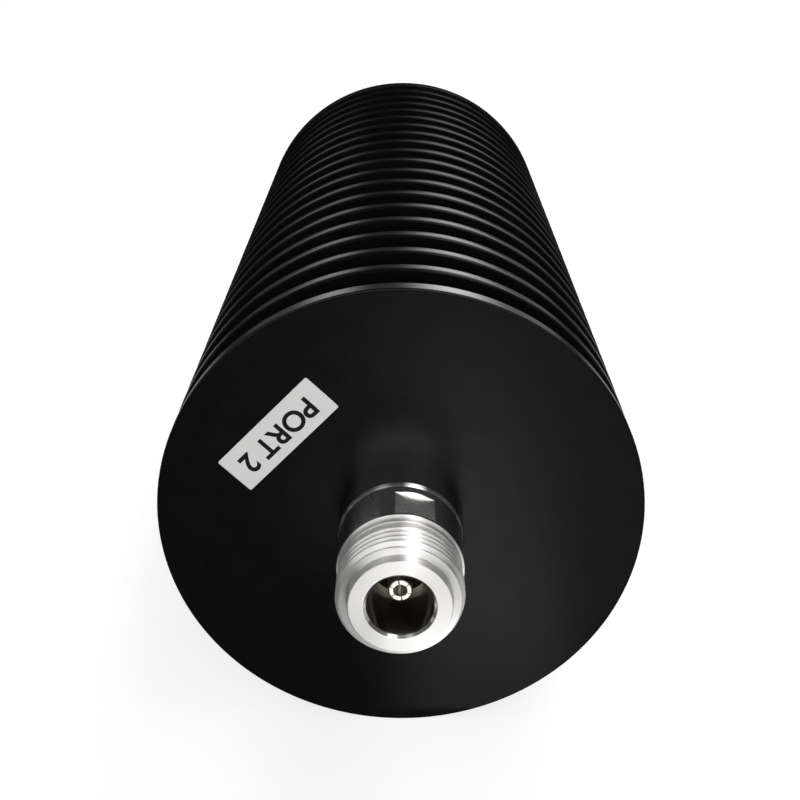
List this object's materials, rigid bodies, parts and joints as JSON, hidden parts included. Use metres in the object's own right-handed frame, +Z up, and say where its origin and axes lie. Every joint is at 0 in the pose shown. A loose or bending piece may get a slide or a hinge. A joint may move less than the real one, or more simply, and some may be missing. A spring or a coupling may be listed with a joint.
{
  "type": "coaxial attenuator",
  "caption": "High-power coaxial attenuator: a black finned cylinder that soaks up radio power, with a threaded coaxial jack on each end.",
  "frame": {"origin": "middle of the body, on its axis", "axes": "+Y along the axis towards the input end, -Y towards the output end, +Z up, with the body lying on its side"},
  "size_m": [0.066, 0.1974, 0.066],
  "materials": {
    "black_anodised": "satin black anodised",
    "nickel_plate": "turned brass, nickel plated, bright",
    "gold_plate": "beryllium copper, gold plated",
    "silver_plate": "brass, silver plated",
    "brown_ptfe": "PTFE, pigmented dark brown",
    "white_ptfe": "PTFE, waxy white",
    "plain_aluminium": "milled, bare",
    "copper": "copper, machined flat",
    "ceramic": "fired ceramic, matt white",
    "film_glaze": "dark green glaze over a resistive film",
    "screw_steel": "stainless steel",
    "label_film": "pale grey polyester label"
  },
  "bodies": {
    "root": {"heat_sink": "black_anodised", "output_end_cap": "black_anodised", "input_end_cap": "black_anodised", "output_jack": "nickel_plate", "input_jack": "nickel_plate", "output_contact": "gold_plate", "input_contact": "gold_plate", "output_bead": "brown_ptfe", "input_bead": "brown_ptfe", "output_bush": "nickel_plate", "input_bush": "nickel_plate", "output_line": "silver_plate", "input_line": "silver_plate", "output_line_bead": "white_ptfe", "input_line_bead": "white_ptfe", "carrier_base": "plain_aluminium", "carrier_cover": "plain_aluminium", "carrier_screws": "screw_steel", "chip_flange": "copper", "chip_substrate": "ceramic", "resistor_film": "film_glaze", "chip_lid": "ceramic", "output_tab": "silver_plate", "input_tab": "silver_plate", "chip_screws": "screw_steel", "output_label": "label_film"}
  },
  "joints": []
}
